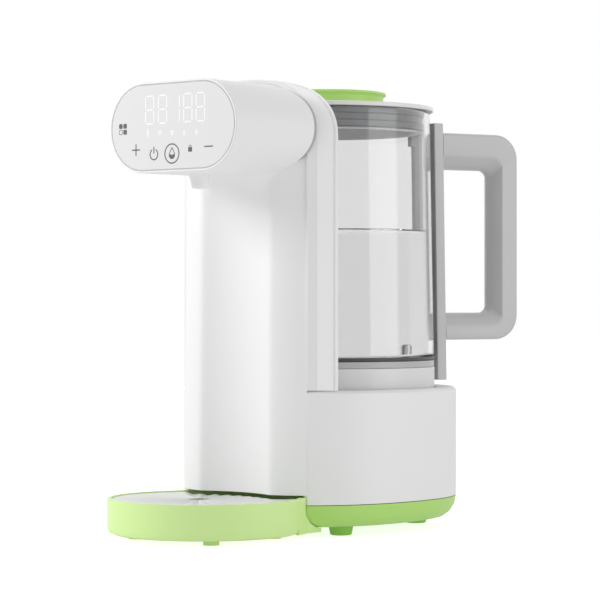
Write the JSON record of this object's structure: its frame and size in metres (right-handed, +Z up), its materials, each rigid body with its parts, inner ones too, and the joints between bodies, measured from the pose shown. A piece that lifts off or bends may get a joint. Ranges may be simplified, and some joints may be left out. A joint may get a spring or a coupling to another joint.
{
  "type": "baby formula maker",
  "caption": "Warm-water dispenser with a lift-off glass jug and lid, touch panel on an overhanging head, pour nozzle, round slide-out drip tray and lift-out grille.",
  "frame": {"origin": "middle of the bounding box in plan, on the surface that the feet stand on", "axes": "+Z up; panel, nozzle and drip tray face -Y; the jug stands towards +Y, its handle turned 20 degrees from +Y towards +X"},
  "size_m": [0.1454, 0.2822, 0.256],
  "materials": {
    "white_gloss": "gloss",
    "panel_gloss": "high gloss",
    "green_plastic": "satin",
    "green_foot": "matte",
    "pale_grey": "satin",
    "dark_grey": "satin",
    "steel": "brushed",
    "heater_metal": "cast",
    "seal_rubber": "matte",
    "circuit_board": "satin",
    "clear_glass": "polished",
    "silicone": "matte"
  },
  "bodies": {
    "machine": {"base_pan": "green_plastic", "base_housing": "white_gloss", "foot_front_left": "green_foot", "foot_front_right": "green_foot", "foot_rear_left": "green_foot", "foot_rear_right": "green_foot", "arch_frame": "white_gloss", "column_cover": "white_gloss", "head_shell": "white_gloss", "control_panel": "panel_gloss", "panel_bezel": "pale_grey", "display_board": "circuit_board", "nozzle": "white_gloss", "dock_ring": "pale_grey", "dock_inlet": "dark_grey", "dock_seal": "seal_rubber", "heater": "heater_metal", "thermostat": "dark_grey", "pump": "dark_grey", "power_board": "circuit_board", "mains_inlet": "dark_grey", "feed_hose": "silicone", "link_hose": "silicone", "outlet_hose": "silicone", "display_harness": "dark_grey"},
    "tray": {"drip_tray": "green_plastic"},
    "grille": {"tray_grille": "pale_grey"},
    "jug": {"jug_base": "white_gloss", "jug_band": "pale_grey", "jug_gasket": "seal_rubber", "jug_glass": "clear_glass", "probe_pin": "steel", "handle_spine": "pale_grey", "handle_strip": "dark_grey", "handle_left": "pale_grey", "handle_right": "pale_grey"},
    "valve": {"valve_poppet": "dark_grey"},
    "lid": {"lid_cap": "pale_grey", "lid_seal": "seal_rubber", "lid_knob": "green_plastic"}
  },
  "joints": [
    {"name": "tray_pull", "type": "slide", "parent": "machine", "child": "tray", "axis": [0, -1, 0], "range_m": [0, 0.07]},
    {"name": "grille_lift", "type": "slide", "parent": "tray", "child": "grille", "axis": [0, 0, 1], "range_m": [0, 0.03]},
    {"name": "jug_lift", "type": "slide", "parent": "machine", "child": "jug", "axis": [0, 0, 1], "range_m": [0, 0.06]},
    {"name": "lid_lift", "type": "slide", "parent": "jug", "child": "lid", "axis": [0, 0, 1], "range_m": [0, 0.05]},
    {"name": "valve_lift", "type": "slide", "parent": "jug", "child": "valve", "axis": [0, 0, 1], "range_m": [0, 0.003], "stiffness_N_per_m": 60, "springref_m": -0.002}
  ]
}
